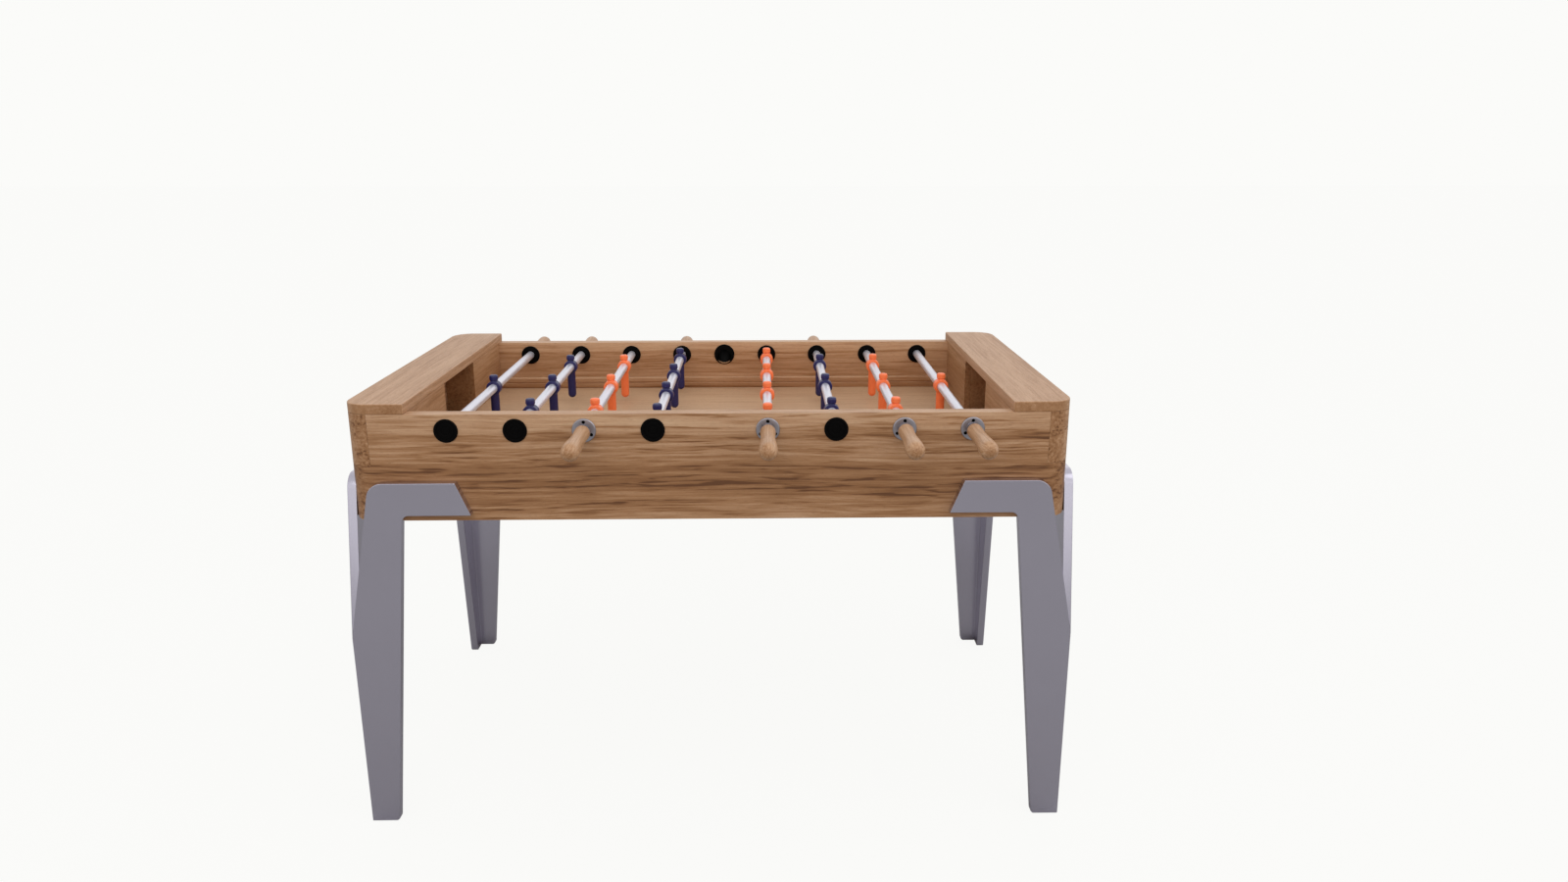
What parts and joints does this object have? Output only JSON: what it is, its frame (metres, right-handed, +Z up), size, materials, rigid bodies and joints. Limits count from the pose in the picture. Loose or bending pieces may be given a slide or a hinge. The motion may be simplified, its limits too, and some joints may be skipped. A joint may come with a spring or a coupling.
{
  "type": "foosball table",
  "caption": "Wooden table football game on four angled metal legs, with telescopic rods of players that spin and slide, turned handles, goals and ball returns.",
  "frame": {"origin": "on the floor, under the middle of the table", "axes": "+Z up, +X along the pitch towards the orange team's goal, the orange team's handles at -Y"},
  "size_m": [1.488, 1.2, 0.92],
  "materials": {
    "box_wood": "oiled, straight grain",
    "cap_wood": "oiled, lighter, straight grain",
    "pitch_wood": "satin lacquer",
    "dark_wood": "satin",
    "handle_wood": "turned and waxed",
    "leg_paint": "satin powder coat",
    "steel": "satin chrome",
    "plate_metal": "satin",
    "black_nylon": "moulded",
    "orange_plastic": "moulded, semi-gloss",
    "navy_plastic": "moulded, semi-gloss"
  },
  "bodies": {
    "table": {"front_wall": "box_wood", "rear_wall": "box_wood", "left_end_wall": "box_wood", "right_end_wall": "box_wood", "left_goal_wall": "box_wood", "right_goal_wall": "box_wood", "left_cap": "cap_wood", "right_cap": "cap_wood", "playfield": "pitch_wood", "side_ledges": "dark_wood", "base_panel": "dark_wood", "cleats": "dark_wood", "panel_screws": "steel", "ball_trays": "black_nylon", "leg_front_left": "leg_paint", "leg_front_right": "leg_paint", "leg_rear_left": "leg_paint", "leg_rear_right": "leg_paint", "leg_bolts": "steel", "bearings": "black_nylon", "bearing_plates": "plate_metal", "plate_screws": "black_nylon", "end_cups": "black_nylon", "ball_entry": "black_nylon"},
    "spindle_1": {"inner_rod_1": "steel"},
    "rod_1": {"tube_1": "steel", "players_1": "navy_plastic", "handle_1": "handle_wood"},
    "spindle_2": {"inner_rod_2": "steel"},
    "rod_2": {"tube_2": "steel", "players_2": "navy_plastic", "handle_2": "handle_wood"},
    "spindle_3": {"inner_rod_3": "steel"},
    "rod_3": {"tube_3": "steel", "players_3": "orange_plastic", "handle_3": "handle_wood"},
    "spindle_4": {"inner_rod_4": "steel"},
    "rod_4": {"tube_4": "steel", "players_4": "navy_plastic", "handle_4": "handle_wood"},
    "spindle_5": {"inner_rod_5": "steel"},
    "rod_5": {"tube_5": "steel", "players_5": "orange_plastic", "handle_5": "handle_wood"},
    "spindle_6": {"inner_rod_6": "steel"},
    "rod_6": {"tube_6": "steel", "players_6": "navy_plastic", "handle_6": "handle_wood"},
    "spindle_7": {"inner_rod_7": "steel"},
    "rod_7": {"tube_7": "steel", "players_7": "orange_plastic", "handle_7": "handle_wood"},
    "spindle_8": {"inner_rod_8": "steel"},
    "rod_8": {"tube_8": "steel", "players_8": "orange_plastic", "handle_8": "handle_wood"}
  },
  "joints": [
    {"name": "rod_1_spin", "type": "hinge", "parent": "table", "child": "spindle_1", "pos_m": [-0.522, 0, 0.866], "axis": [0, 1, 0], "continuous": true},
    {"name": "rod_1_slide", "type": "slide", "parent": "spindle_1", "child": "rod_1", "axis": [0, 1, 0], "range_m": [-0.012, 0.13]},
    {"name": "rod_2_spin", "type": "hinge", "parent": "table", "child": "spindle_2", "pos_m": [-0.386, 0, 0.866], "axis": [0, 1, 0], "continuous": true},
    {"name": "rod_2_slide", "type": "slide", "parent": "spindle_2", "child": "rod_2", "axis": [0, 1, 0], "range_m": [-0.012, 0.143]},
    {"name": "rod_3_spin", "type": "hinge", "parent": "table", "child": "spindle_3", "pos_m": [-0.25, 0, 0.866], "axis": [0, 1, 0], "continuous": true},
    {"name": "rod_3_slide", "type": "slide", "parent": "spindle_3", "child": "rod_3", "axis": [0, -1, 0], "range_m": [-0.012, 0.103]},
    {"name": "rod_4_spin", "type": "hinge", "parent": "table", "child": "spindle_4", "pos_m": [-0.114, 0, 0.866], "axis": [0, 1, 0], "continuous": true},
    {"name": "rod_4_slide", "type": "slide", "parent": "spindle_4", "child": "rod_4", "axis": [0, 1, 0], "range_m": [-0.012, 0.052]},
    {"name": "rod_5_spin", "type": "hinge", "parent": "table", "child": "spindle_5", "pos_m": [0.114, 0, 0.866], "axis": [0, 1, 0], "continuous": true},
    {"name": "rod_5_slide", "type": "slide", "parent": "spindle_5", "child": "rod_5", "axis": [0, -1, 0], "range_m": [-0.012, 0.052]},
    {"name": "rod_6_spin", "type": "hinge", "parent": "table", "child": "spindle_6", "pos_m": [0.25, 0, 0.866], "axis": [0, 1, 0], "continuous": true},
    {"name": "rod_6_slide", "type": "slide", "parent": "spindle_6", "child": "rod_6", "axis": [0, 1, 0], "range_m": [-0.012, 0.143]},
    {"name": "rod_7_spin", "type": "hinge", "parent": "table", "child": "spindle_7", "pos_m": [0.386, 0, 0.866], "axis": [0, 1, 0], "continuous": true},
    {"name": "rod_7_slide", "type": "slide", "parent": "spindle_7", "child": "rod_7", "axis": [0, -1, 0], "range_m": [-0.012, 0.103]},
    {"name": "rod_8_spin", "type": "hinge", "parent": "table", "child": "spindle_8", "pos_m": [0.522, 0, 0.866], "axis": [0, 1, 0], "continuous": true},
    {"name": "rod_8_slide", "type": "slide", "parent": "spindle_8", "child": "rod_8", "axis": [0, -1, 0], "range_m": [-0.012, 0.13]}
  ]
}
